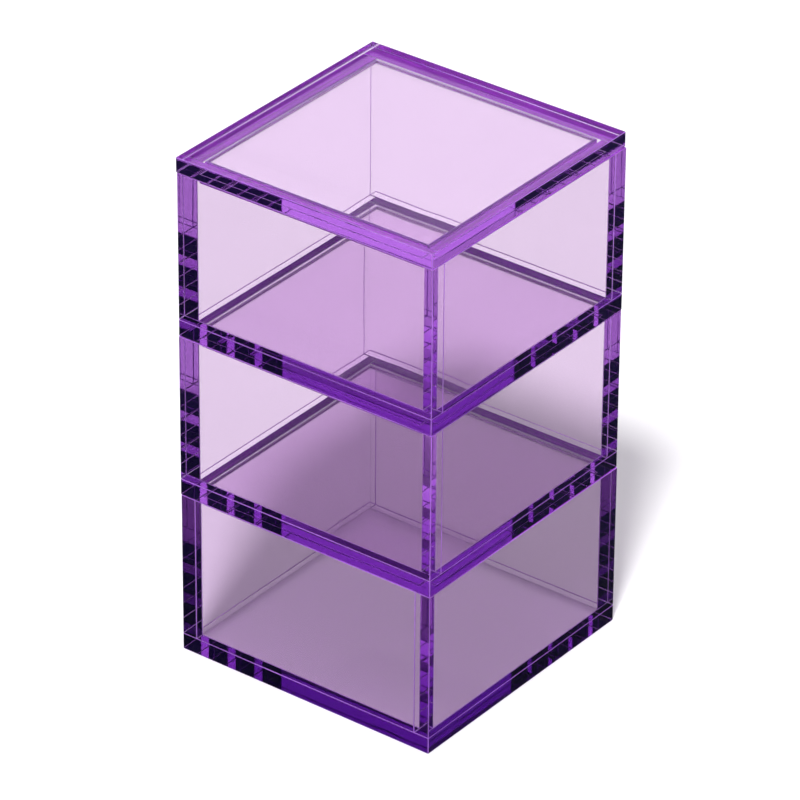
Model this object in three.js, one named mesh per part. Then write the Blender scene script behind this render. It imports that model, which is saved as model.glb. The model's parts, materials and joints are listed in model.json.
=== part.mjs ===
// Stacking desk organizer: three open-topped square boxes in tinted clear acrylic, one on
// another, and a flat lift-off lid. Millimetres, +Z up, +Y to the back, +X to the right.
// The origin is on the desk, at the middle of the bottom box's footprint.
//
// Every box is welded up from flat plates cut from one sheet: a full-size floor with four walls
// standing on its edge. Two opposite walls run the full width and the other two fit between
// them. The middle and top boxes and the lid carry a smaller plate welded underneath. It drops
// loosely into the mouth of the box below, and keeps the stack from sliding.
import * as THREE from "three";
import { ConvexGeometry } from "three/addons/geometries/ConvexGeometry.js";

// Driving dimensions
const SIDE = 101.6; // outer width and depth of every box and of the lid
const FLOOR = 6.0; // thickness of the floor plates
const WALL = 5.8; // thickness of the wall plates
const LID = 5.4; // thickness of the lid plate
const BOX_H = 59.4; // height of one box, floor included, locating plate not
const LOCATING = 3.4; // thickness of the plate welded under the middle box, the top box and the lid
const PLAY = 0.7; // clearance on each side between a locating plate and the walls round it
const WELD = 0.04; // thickness of a solvent-weld line
const REST = 0.1; // gap where one piece only rests on another
const ARRIS = 0.3; // edges broken after polishing
const SEAT = {
  // how each loose piece sits within its play on the one below: shift right, shift back, turn
  middle: [-0.2, 0.0, 0.08],
  top: [-0.05, -0.05, -0.07],
  lid: [-0.4, -0.1, 0.12],
};
const COLOUR = { box: 0xb08fd0, locating: 0xa987cc, lid: 0xb795d6 };

const WALL_H = BOX_H - FLOOR - WELD;
const INSIDE = SIDE - 2 * WALL; // inner width of a box
const LOCATING_SIDE = INSIDE - 2 * PLAY;
const PITCH = BOX_H + REST; // from one box's underside to the next

const material = (colour) =>
  new THREE.MeshStandardMaterial({
    color: colour,
    roughness: 0.05,
    metalness: 0,
    transparent: true,
    opacity: 0.45,
  });

// A flat plate of size x, y, z with its twelve edges broken by ARRIS, centred on the origin.
function plateGeometry(x, y, z) {
  const corners = [];
  for (const sx of [-1, 1])
    for (const sy of [-1, 1])
      for (const sz of [-1, 1]) {
        const [hx, hy, hz] = [(sx * x) / 2, (sy * y) / 2, (sz * z) / 2];
        const [ax, ay, az] = [sx * ARRIS, sy * ARRIS, sz * ARRIS];
        corners.push(
          new THREE.Vector3(hx, hy - ay, hz - az),
          new THREE.Vector3(hx - ax, hy, hz - az),
          new THREE.Vector3(hx - ax, hy - ay, hz),
        );
      }
  return new ConvexGeometry(corners);
}

function plate(name, size, centre, colour) {
  const mesh = new THREE.Mesh(plateGeometry(...size), material(colour));
  mesh.name = name;
  mesh.position.set(...centre);
  return mesh;
}

// One open box with its underside at z = 0. fullWidth names the pair of walls that run from
// edge to edge: "x" for front and back, "y" for left and right.
function box(prefix, fullWidth, locating) {
  const group = new THREE.Group();
  const long = SIDE;
  const short = INSIDE - 2 * WELD;
  const out = (SIDE - WALL) / 2;
  const wallZ = FLOOR + WELD + WALL_H / 2;
  const frontBack = fullWidth === "x" ? long : short;
  const leftRight = fullWidth === "x" ? short : long;
  group.add(
    plate(`${prefix}_floor`, [SIDE, SIDE, FLOOR], [0, 0, FLOOR / 2], COLOUR.box),
    plate(`${prefix}_wall_front`, [frontBack, WALL, WALL_H], [0, -out, wallZ], COLOUR.box),
    plate(`${prefix}_wall_back`, [frontBack, WALL, WALL_H], [0, out, wallZ], COLOUR.box),
    plate(`${prefix}_wall_left`, [WALL, leftRight, WALL_H], [-out, 0, wallZ], COLOUR.box),
    plate(`${prefix}_wall_right`, [WALL, leftRight, WALL_H], [out, 0, wallZ], COLOUR.box),
  );
  if (locating) group.add(locatingPlate(`${prefix}_locating_plate`));
  return group;
}

// The smaller plate welded under z = 0.
function locatingPlate(name) {
  return plate(
    name,
    [LOCATING_SIDE, LOCATING_SIDE, LOCATING],
    [0, 0, -WELD - LOCATING / 2],
    COLOUR.locating,
  );
}

function lid() {
  const group = new THREE.Group();
  group.add(
    plate("lid_plate", [SIDE, SIDE, LID], [0, 0, LID / 2], COLOUR.lid),
    locatingPlate("lid_locating_plate"),
  );
  return group;
}

// Puts a tier at its height, sitting as SEAT says.
function seated(group, height, seat = [0, 0, 0]) {
  group.position.set(seat[0], seat[1], height);
  group.rotation.z = THREE.MathUtils.degToRad(seat[2]);
  return group;
}

const organizer = new THREE.Group();
organizer.name = "desk_organizer";
organizer.add(
  seated(box("bottom", "y", false), 0),
  seated(box("middle", "x", true), PITCH, SEAT.middle),
  seated(box("top", "x", true), 2 * PITCH, SEAT.top),
  seated(lid(), 3 * PITCH, SEAT.lid),
);

export default organizer;
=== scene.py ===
import json
import math
import random

import bmesh
import bpy
from mathutils import Matrix, Vector


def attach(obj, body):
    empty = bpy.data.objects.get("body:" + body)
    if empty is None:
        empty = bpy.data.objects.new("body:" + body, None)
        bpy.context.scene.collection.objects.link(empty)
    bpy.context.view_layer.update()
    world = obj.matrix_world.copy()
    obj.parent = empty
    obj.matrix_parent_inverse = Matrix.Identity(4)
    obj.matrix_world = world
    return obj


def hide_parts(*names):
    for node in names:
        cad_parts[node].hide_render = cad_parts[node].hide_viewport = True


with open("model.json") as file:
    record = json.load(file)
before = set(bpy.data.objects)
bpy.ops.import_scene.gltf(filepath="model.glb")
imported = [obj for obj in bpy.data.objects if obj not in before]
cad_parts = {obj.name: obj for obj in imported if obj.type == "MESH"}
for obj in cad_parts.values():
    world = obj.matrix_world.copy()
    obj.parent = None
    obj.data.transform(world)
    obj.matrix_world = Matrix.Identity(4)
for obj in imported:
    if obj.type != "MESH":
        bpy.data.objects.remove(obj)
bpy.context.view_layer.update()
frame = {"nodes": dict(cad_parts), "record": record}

MM = 0.001

# ------------------------------------------------------------------ the tiers and their plates
TIERS = {
    "bottom_box": "bottom",
    "middle_box": "middle",
    "top_box": "top",
    "lid": "lid",
}
ARRIS = 0.2 * MM  # broken edge of a plate
NEAR = 0.12 * MM  # plates this close are welded
SAWN_AND_PAINTED_GLOW = 0.55  # frost on the rims of the boxes and round the locating plates, which are only sawn and scraped; at this level they also take the rim's painted violet glow colour
OVERHANG = 0.3 * MM  # how far the lid, as it sits, stands out past the wall on its left
BEAD = 0.55 * MM  # width of the glue line round a locating plate, which has air between it and the plate above


def plate_frame(obj):
    """A CAD plate's turn about Z and its lowest and highest corner before that turn."""
    me = obj.data
    best, angle = 0.0, 0.0
    for p in me.polygons:
        if abs(p.normal.z) < 0.01 and p.area > best:
            best, angle = p.area, math.atan2(p.normal.y, p.normal.x)
    angle -= round(angle / (math.pi / 2)) * math.pi / 2
    back = Matrix.Rotation(-angle, 3, "Z")
    pts = [back @ (obj.matrix_world @ v.co) for v in me.vertices]
    lo = Vector([min(p[i] for p in pts) for i in range(3)])
    hi = Vector([max(p[i] for p in pts) for i in range(3)])
    return angle, lo, hi


plates = {}
for body, nodes in frame["record"]["behaviour"]["bodies"].items():
    for n in nodes:
        angle, lo, hi = plate_frame(frame["nodes"][n])
        plates[n] = {"body": body, "angle": angle, "lo": lo, "hi": hi, "locating": n.endswith("locating_plate"), "number": len(plates)}
for n, p in plates.items():
    p["has_locating"] = n in ("middle_floor", "top_floor", "lid_plate")


def neighbours(name):
    p = plates[name]
    return [q for n, q in plates.items() if n != name and q["body"] == p["body"]]


def material_nodes(m):
    """An empty node tree for m, a function that adds a node, and one that joins two sockets."""
    m.use_nodes = True
    nt = m.node_tree
    nt.nodes.clear()

    def add(kind, **values):
        n = nt.nodes.new(kind)
        for k, v in values.items():
            setattr(n, k, v)
        return n

    return add, nt.links.new


def plate_piece(name):
    """A flat plate with broken edges. Its faces are cut where the plates glued to it meet them. The attribute weld is 1 or 2 on every face that lies against one, frost is 1 on the sanded edges and along glue lines, and grain is the place in the plate in millimetres with the thickness first."""
    p = plates[name]
    lo, hi = p["lo"], p["hi"]
    near = neighbours(name)
    glued = [q for q in near if p["locating"] or q["locating"]]
    near = [q for q in near if not (p["locating"] or q["locating"])]
    cuts = []
    for i in range(3):
        c = {round(lo[i] + ARRIS, 8), round(hi[i] - ARRIS, 8)}
        for q in near:
            for e in (q["lo"][i] + ARRIS, q["hi"][i] - ARRIS):
                if lo[i] + 2 * ARRIS < e < hi[i] - 2 * ARRIS:
                    c.add(round(e, 8))
        for q in glued:
            if i == 2 or (p["locating"] and q["lo"].z < lo.z):
                continue
            small = p if p["locating"] else q
            for e in (small["lo"][i] + ARRIS, small["lo"][i] + ARRIS + BEAD, small["hi"][i] - ARRIS - BEAD, small["hi"][i] - ARRIS):
                if lo[i] + 1.5 * ARRIS < e < hi[i] - 1.5 * ARRIS:
                    c.add(round(e, 8))
        if i == 0 and name == "lid_plate":
            c.add(round(lo[i] + ARRIS + OVERHANG, 8))
        cuts.append(sorted(c))
    bm = bmesh.new()
    verts = {}

    def vert(co):
        key = tuple(round(x, 8) for x in co)
        if key not in verts:
            verts[key] = bm.verts.new(co)
        return verts[key]

    quads = []
    for i in range(3):
        j, k = (i + 1) % 3, (i + 2) % 3
        for side, level in ((-1, lo[i]), (1, hi[i])):
            for a0, a1 in zip(cuts[j], cuts[j][1:]):
                for b0, b1 in zip(cuts[k], cuts[k][1:]):
                    ring = []
                    for a, b in ((a0, b0), (a1, b0), (a1, b1), (a0, b1)):
                        co = [0, 0, 0]
                        co[i], co[j], co[k] = level, a, b
                        ring.append(vert(co))
                    if side < 0:
                        ring.reverse()
                    bm.faces.new(ring)
                    quads.append((i, side))
    # broken edges: a strip between each two neighbouring sides, and a corner at each three
    for i in range(3):
        j, k = (i + 1) % 3, (i + 2) % 3
        for sj, lj, cj in ((-1, lo[j], cuts[j][0]), (1, hi[j], cuts[j][-1])):
            for sk, lk, ck in ((-1, lo[k], cuts[k][0]), (1, hi[k], cuts[k][-1])):
                for a0, a1 in zip(cuts[i], cuts[i][1:]):
                    ring = []
                    for a, on_j in ((a0, True), (a1, True), (a1, False), (a0, False)):
                        co = [0, 0, 0]
                        co[i] = a
                        co[j], co[k] = (lj, ck) if on_j else (cj, lk)
                        ring.append(vert(co))
                    f = bm.faces.new(ring)
                    f.normal_update()
                    out = Vector((0, 0, 0))
                    out[j], out[k] = sj, sk
                    if f.normal.dot(out) < 0:
                        f.normal_flip()
    for sx in (0, 1):
        for sy in (0, 1):
            for sz in (0, 1):
                s = (sx, sy, sz)
                flat = [cuts[i][-1] if s[i] else cuts[i][0] for i in range(3)]
                edge = [hi[i] if s[i] else lo[i] for i in range(3)]
                ring = []
                for i in range(3):
                    co = list(flat)
                    co[i] = edge[i]
                    ring.append(vert(co))
                f = bm.faces.new(ring)
                f.normal_update()
                out = Vector([1 if x else -1 for x in s])
                if f.normal.dot(out) < 0:
                    f.normal_flip()
    bm.normal_update()
    weld = bm.faces.layers.float.new("weld")
    frost = bm.faces.layers.float.new("frost")
    bead_z = 0.0
    if glued:
        small = p if p["locating"] else [q for q in glued if q["locating"]][0]
        bead_z = 1.0 if p["locating"] else -1.0
    for f in bm.faces:
        f[weld] = 0.0
        f[frost] = 0.0
        n = f.normal
        if max(abs(x) for x in n) < 0.999:
            f[frost] = 1.0
            continue
        # wall tops and the sides of locating plates: sawn frost, which also gives them the painted violet glow colour
        if n.z > 0.9 and "_wall_" in name or p["locating"] and abs(n.z) < 0.5:
            f[frost] = SAWN_AND_PAINTED_GLOW
        if name == "lid_plate" and n.z < -0.9 and f.calc_center_median().x < lo.x + ARRIS + OVERHANG:
            f[frost] = 1.0
        if bead_z and n.z * bead_z > 0.9 and (p["locating"] or p["has_locating"]):
            c = f.calc_center_median()
            depth = min(min(c[i] - small["lo"][i], small["hi"][i] - c[i]) for i in (0, 1)) - ARRIS
            if 0 < depth < BEAD:
                f[frost] = 1.0
        probe = f.calc_center_median() + n * NEAR
        for q in near:
            if all(q["lo"][i] + ARRIS * 0.9 < probe[i] < q["hi"][i] - ARRIS * 0.9 or abs(n[i]) > 0.5 and q["lo"][i] < probe[i] < q["hi"][i] for i in range(3)):
                f[weld] = 1.0 if abs(n.z) > 0.5 else 2.0  # the upright welds have no bubbles
    grain = bm.verts.layers.float_vector.new("grain")
    span = hi - lo
    thin = min(range(3), key=lambda i: span[i])
    order = [thin] + [i for i in range(3) if i != thin]
    shift = Vector((0, 41.0 * p["number"], 23.0 * p["number"]))
    for v in bm.verts:
        v[grain] = Vector([(v.co[i] - lo[i]) / MM for i in order]) + shift
    bmesh.ops.rotate(bm, verts=bm.verts, cent=(0, 0, 0), matrix=Matrix.Rotation(p["angle"], 3, "Z"))
    me = bpy.data.meshes.new(name + "_clear")
    bm.to_mesh(me)
    bm.free()
    obj = bpy.data.objects.new(name + "_clear", me)
    bpy.context.scene.collection.objects.link(obj)
    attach(obj, p["body"])
    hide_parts(name)
    return obj


# ------------------------------------------------------------------ materials
ABSORB = (10.2, 18.5, 6.5)  # red, green and blue taken up per metre
BOX_SKIN = (0.842, 0.797, 0.84)  # what a surface lets through, besides its reflection
DECK_SKIN = (0.965, 0.93, 0.965)  # the same on the floors of the boxes
LID_SKIN = (0.96, 0.94, 0.955)
RIM_PAINTED_GLOW = (0.60, 0.07, 0.98)  # a sawn rim: its own violet tint strengthened into a painted glow, which stands in for the violet light carried up inside the plate
SANDED = (0.50, 0.20, 0.78)  # a sanded edge


def acrylic(name, absorb, skin, bubbles):
    """Tinted clear acrylic: colour taken up in the depth, a faint roll and saw marks in the surface, streaky sawn rims
    with a painted violet glow, sanded edges, and bubbles in the glue lines.
    """
    m = bpy.data.materials.new(name)
    add, link = material_nodes(m)
    out = add("ShaderNodeOutputMaterial")
    p = add("ShaderNodeBsdfPrincipled")
    p.inputs["IOR"].default_value = 1.49
    grain = add("ShaderNodeAttribute", attribute_name="grain")
    frost = add("ShaderNodeAttribute", attribute_name="frost")
    weld = add("ShaderNodeAttribute", attribute_name="weld")

    def by_frost(stops):
        ramp = add("ShaderNodeValToRGB")
        while len(ramp.color_ramp.elements) < len(stops):
            ramp.color_ramp.elements.new(0.5)
        for e, (at, rgb) in zip(ramp.color_ramp.elements, stops):
            e.position = at
            e.color = (*rgb, 1)
        link(frost.outputs["Fac"], ramp.inputs[0])
        return ramp.outputs[0]

    # base colour: the plate's tint on clear faces, a painted violet glow on the sawn rims, the sanded colour on the
    # edges
    link(by_frost([(0, skin), (SAWN_AND_PAINTED_GLOW, RIM_PAINTED_GLOW), (1, SANDED)]), p.inputs["Base Color"])
    rough = add("ShaderNodeMath", operation="MULTIPLY")
    rough.inputs[1].default_value = 0.42
    link(frost.outputs["Fac"], rough.inputs[0])
    link(rough.outputs[0], p.inputs["Roughness"])
    # the sheet's roll: a few centimetres from crest to crest
    roll = add("ShaderNodeTexNoise")
    roll.inputs["Scale"].default_value = 0.045
    roll.inputs["Detail"].default_value = 1.0
    link(grain.outputs["Vector"], roll.inputs["Vector"])
    b1 = add("ShaderNodeBump")
    b1.inputs["Strength"].default_value = 1.0
    b1.inputs["Distance"].default_value = 0.000014
    link(roll.outputs[0], b1.inputs["Height"])
    # saw and scraper marks along the cut edges, none on the faces
    stretch = add("ShaderNodeVectorMath", operation="MULTIPLY")
    stretch.inputs[1].default_value = (1.0, 0.018, 0.018)
    link(grain.outputs["Vector"], stretch.inputs[0])
    saw = add("ShaderNodeTexNoise")
    saw.inputs["Scale"].default_value = 1.1
    saw.inputs["Detail"].default_value = 2.0
    link(stretch.outputs[0], saw.inputs["Vector"])
    b2 = add("ShaderNodeBump")
    link(by_frost([(0, (0.35, 0.35, 0.35)), (SAWN_AND_PAINTED_GLOW, (1, 1, 1))]), b2.inputs["Strength"])
    b2.inputs["Distance"].default_value = 0.00001
    link(saw.outputs[0], b2.inputs["Height"])
    link(b1.outputs[0], b2.inputs["Normal"])
    link(b2.outputs[0], p.inputs["Normal"])
    # streaks along a rim: more or less of it scatters and shows the painted violet glow
    streak = add("ShaderNodeMapRange")
    streak.inputs["From Min"].default_value = 0.34
    streak.inputs["From Max"].default_value = 0.66
    streak.inputs["To Min"].default_value = 0.55
    streak.inputs["To Max"].default_value = 1.0
    link(saw.outputs[0], streak.inputs["Value"])
    milky = add("ShaderNodeMath", operation="MULTIPLY")
    link(streak.outputs[0], milky.inputs[0])
    link(by_frost([(0, (0, 0, 0)), (SAWN_AND_PAINTED_GLOW, (0.85, 0.85, 0.85)), (1, (0.75, 0.75, 0.75))]), milky.inputs[1])
    clearness = add("ShaderNodeMath", operation="SUBTRACT")
    clearness.inputs[0].default_value = 1.0
    link(milky.outputs[0], clearness.inputs[1])
    link(clearness.outputs[0], p.inputs["Transmission Weight"])
    # weak glare: part of the partial reflection is let through instead, the total one inside is kept
    fresnel = add("ShaderNodeFresnel")
    fresnel.inputs["IOR"].default_value = 1.49
    link(b2.outputs[0], fresnel.inputs["Normal"])
    partial = add("ShaderNodeMath", operation="LESS_THAN")
    partial.inputs[1].default_value = 0.97
    link(fresnel.outputs[0], partial.inputs[0])
    share = add("ShaderNodeMath", operation="MULTIPLY")
    link(partial.outputs[0], share.inputs[0])
    link(by_frost([(0, (0.75, 0.75, 0.75)), (0.2, (0, 0, 0))]), share.inputs[1])
    through = add("ShaderNodeBsdfRefraction", distribution="GGX")
    through.inputs["Color"].default_value = (*[x**0.5 for x in skin], 1)
    through.inputs["IOR"].default_value = 1.49
    link(rough.outputs[0], through.inputs["Roughness"])
    link(b2.outputs[0], through.inputs["Normal"])
    soft = add("ShaderNodeMixShader")
    link(share.outputs[0], soft.inputs[0])
    link(p.outputs[0], soft.inputs[1])
    link(through.outputs[0], soft.inputs[2])
    # glue: clear across a weld, with bubbles left in it
    co = add("ShaderNodeTexCoord")
    bubble = add("ShaderNodeTexNoise")
    bubble.inputs["Scale"].default_value = 330.0
    bubble.inputs["Detail"].default_value = 1.0
    link(co.outputs["Object"], bubble.inputs["Vector"])
    level = add("ShaderNodeMath", operation="ADD")
    level.inputs[1].default_value = bubbles - 1
    link(weld.outputs["Fac"], level.inputs[0])
    joined = add("ShaderNodeMath", operation="LESS_THAN")
    link(bubble.outputs[0], joined.inputs[0])
    link(level.outputs[0], joined.inputs[1])
    clear = add("ShaderNodeBsdfTransparent")
    mix = add("ShaderNodeMixShader")
    link(joined.outputs[0], mix.inputs[0])
    link(soft.outputs[0], mix.inputs[1])
    link(clear.outputs[0], mix.inputs[2])
    link(mix.outputs[0], out.inputs["Surface"])
    v = add("ShaderNodeVolumeAbsorption")
    density = 80.0
    v.inputs["Color"].default_value = (*[1 - a / density for a in absorb], 1)
    v.inputs["Density"].default_value = density
    link(v.outputs[0], out.inputs["Volume"])
    m.cycles.homogeneous_volume = True
    return m


wall_mat = acrylic("box_acrylic_violet", ABSORB, BOX_SKIN, 0.8)
floor_mat = acrylic("box_acrylic_violet_floor", [a * 2.0 for a in ABSORB], DECK_SKIN, 0.8)
# painted shade: the bottom floor is a darker copy of the floor acrylic
ground_painted_shade_mat = acrylic("box_acrylic_violet_ground_painted_shade", [a * 2.7 for a in ABSORB], DECK_SKIN, 0.8)
# painted shade: the bottom box's walls are a darker copy of the wall acrylic, standing in for the shade that falls on
# the bottom box
base_painted_shade_mat = acrylic("box_acrylic_violet_base_painted_shade", [a * 1.35 for a in ABSORB], BOX_SKIN, 0.8)
deck_mat = acrylic("box_acrylic_violet_locating", [a * 1.15 for a in ABSORB], DECK_SKIN, 0.8)
lid_mat = acrylic("lid_acrylic_violet", [a * 1.08 for a in ABSORB], LID_SKIN, 0.8)
pieces = {}
for n in plates:
    o = plate_piece(n)
    if plates[n]["body"] == "lid":
        o.data.materials.append(lid_mat)
    elif n == "bottom_floor":
        o.data.materials.append(ground_painted_shade_mat)
    elif n.endswith("_floor"):
        o.data.materials.append(floor_mat)
    elif plates[n]["locating"]:
        o.data.materials.append(deck_mat)
    else:
        o.data.materials.append(base_painted_shade_mat if plates[n]["body"] == "bottom_box" else wall_mat)
    pieces[n] = o

# ------------------------------------------------------------------ floor, world, light
bpy.ops.mesh.primitive_circle_add(vertices=128, radius=6.0, fill_type="NGON", location=(0, 0, -0.00005))
floor = bpy.context.object
floor.name = "floor"
fm = bpy.data.materials.new("floor_white")
add, link = material_nodes(fm)


def unmirrored(add, link):
    """1, or MIRROR for a ray that comes off a polished surface: the glare a polarising filter takes away."""
    path = add("ShaderNodeLightPath")
    both = add("ShaderNodeMath", operation="MULTIPLY")
    link(path.outputs["Is Reflection Ray"], both.inputs[0])
    link(path.outputs["Is Glossy Ray"], both.inputs[1])
    f = add("ShaderNodeMapRange")
    f.inputs["To Min"].default_value = 1.0
    f.inputs["To Max"].default_value = MIRROR
    link(both.outputs[0], f.inputs["Value"])
    return f.outputs[0]


MIRROR = 0.22
FLOOR_WHITE = 0.9
# painted light: how strongly the floor glows under the boxes
PAINTED_SUN_UNDER_BOX = 0.3
FLOOR_GLOW = 0.1  # the sweep is lit from below as well
shade = add("ShaderNodeBsdfDiffuse")
tone = add("ShaderNodeCombineColor")
lit = add("ShaderNodeMath", operation="MULTIPLY")
lit.inputs[1].default_value = FLOOR_WHITE
link(unmirrored(add, link), lit.inputs[0])
for k in range(3):
    link(lit.outputs[0], tone.inputs[k])
link(tone.outputs[0], shade.inputs["Color"])
glow = add("ShaderNodeEmission")
glow.inputs["Color"].default_value = (1, 1, 1, 1)
glow_level = add("ShaderNodeMath", operation="MULTIPLY")
glow_level.inputs[1].default_value = FLOOR_GLOW / FLOOR_WHITE
link(lit.outputs[0], glow_level.inputs[0])
# painted light: a glowing patch on the floor under the boxes, standing in for the sunlight that comes down through them
place = add("ShaderNodeTexCoord")
reach = add("ShaderNodeVectorMath", operation="ABSOLUTE")
link(place.outputs["Object"], reach.inputs[0])
xyz = add("ShaderNodeSeparateXYZ")
link(reach.outputs[0], xyz.inputs[0])
far = add("ShaderNodeMath", operation="MAXIMUM")
link(xyz.outputs["X"], far.inputs[0])
link(xyz.outputs["Y"], far.inputs[1])
under = add("ShaderNodeMapRange")
under.inputs["From Min"].default_value = 0.044
under.inputs["From Max"].default_value = 0.05
under.inputs["To Min"].default_value = PAINTED_SUN_UNDER_BOX
under.inputs["To Max"].default_value = 0.0
link(far.outputs[0], under.inputs["Value"])
total = add("ShaderNodeMath", operation="ADD")
link(glow_level.outputs[0], total.inputs[0])
link(under.outputs[0], total.inputs[1])
link(total.outputs[0], glow.inputs["Strength"])
both = add("ShaderNodeAddShader")
link(shade.outputs[0], both.inputs[0])
link(glow.outputs[0], both.inputs[1])
link(both.outputs[0], add("ShaderNodeOutputMaterial").inputs["Surface"])
floor.data.materials.append(fm)

sc = bpy.context.scene
world = bpy.data.worlds.new("studio")
sc.world = world
add, link = material_nodes(world)
world_out = add("ShaderNodeOutputWorld")
bg = add("ShaderNodeBackground")
link(bg.outputs[0], world_out.inputs["Surface"])
way = add("ShaderNodeTexCoord")
colour = None


def panel(direction, inner, outer, rgb):
    """Lays a round panel of colour rgb over the studio so far, seen towards direction, full within inner degrees and gone at outer."""
    global colour
    d = Vector(direction).normalized()
    dot = add("ShaderNodeVectorMath", operation="DOT_PRODUCT")
    link(way.outputs["Generated"], dot.inputs[0])
    dot.inputs[1].default_value = d
    ramp = add("ShaderNodeMapRange", interpolation_type="SMOOTHSTEP")
    ramp.inputs["From Min"].default_value = math.cos(math.radians(outer))
    ramp.inputs["From Max"].default_value = math.cos(math.radians(inner))
    link(dot.outputs["Value"], ramp.inputs["Value"])
    mix = add("ShaderNodeMix", data_type="RGBA")
    link(ramp.outputs[0], mix.inputs[0])
    if colour is None:
        mix.inputs[6].default_value = (*STUDIO, 1)
    else:
        link(colour, mix.inputs[6])
    mix.inputs[7].default_value = (*rgb, 1)
    colour = mix.outputs[2]


STUDIO = (0.29, 0.29, 0.29)
DARK = (0.02, 0.018, 0.07)
panel((0, 0, -1), 95, 104, (1.0, 1.0, 1.0))  # pale sweep round the horizon
panel((-0.52, 0.68, 0.51), 24, 40, (1.78, 1.62, 1.88))  # bright sweep behind on the left
panel((0.52, 0.68, 0.51), 17, 24, DARK)  # dark card behind on the right
panel((-0.52, -0.68, 0.51), 17, 24, DARK)  # dark card in front on the left
link(colour, bg.inputs[0])
link(unmirrored(add, link), bg.inputs[1])

key_data = bpy.data.lights.new("key", "SUN")
key_data.energy = 3.05
key_data.angle = math.radians(9)
key = bpy.data.objects.new("key", key_data)
sc.collection.objects.link(key)
key.rotation_euler = Vector((0.22, -0.49, 0.84)).to_track_quat("Z", "Y").to_euler()

# ------------------------------------------------------------------ camera
cam_data = bpy.data.cameras.new("camera")
cam = bpy.data.objects.new("camera", cam_data)
sc.collection.objects.link(cam)
sc.camera = cam
AZ, EL, ROLL = math.radians(37.2666), math.radians(30.5903), math.radians(0.4599)
back = Vector((math.sin(AZ) * math.cos(EL), -math.cos(AZ) * math.cos(EL), math.sin(EL)))
right = Vector((math.cos(AZ), math.sin(AZ), 0))
up = back.cross(right)
r2 = math.cos(ROLL) * right + math.sin(ROLL) * up
u2 = -math.sin(ROLL) * right + math.cos(ROLL) * up
cam.matrix_world = Matrix.Translation((1.01613, -1.33593, 1.08233)) @ Matrix((r2, u2, back)).transposed().to_4x4()
cam_data.sensor_width = 36
cam_data.lens = 270.83
cam_data.clip_start = 0.05
cam_data.clip_end = 30

sc.view_settings.view_transform = "Standard"
sc.view_settings.look = "None"
c = sc.cycles
c.max_bounces = 96
c.glossy_bounces = 96
c.transmission_bounces = 96
c.diffuse_bounces = 4
c.transparent_max_bounces = 128
c.volume_bounces = 0
c.caustics_refractive = True
c.caustics_reflective = True
c.use_denoising = True
c.sample_clamp_indirect = 6.0
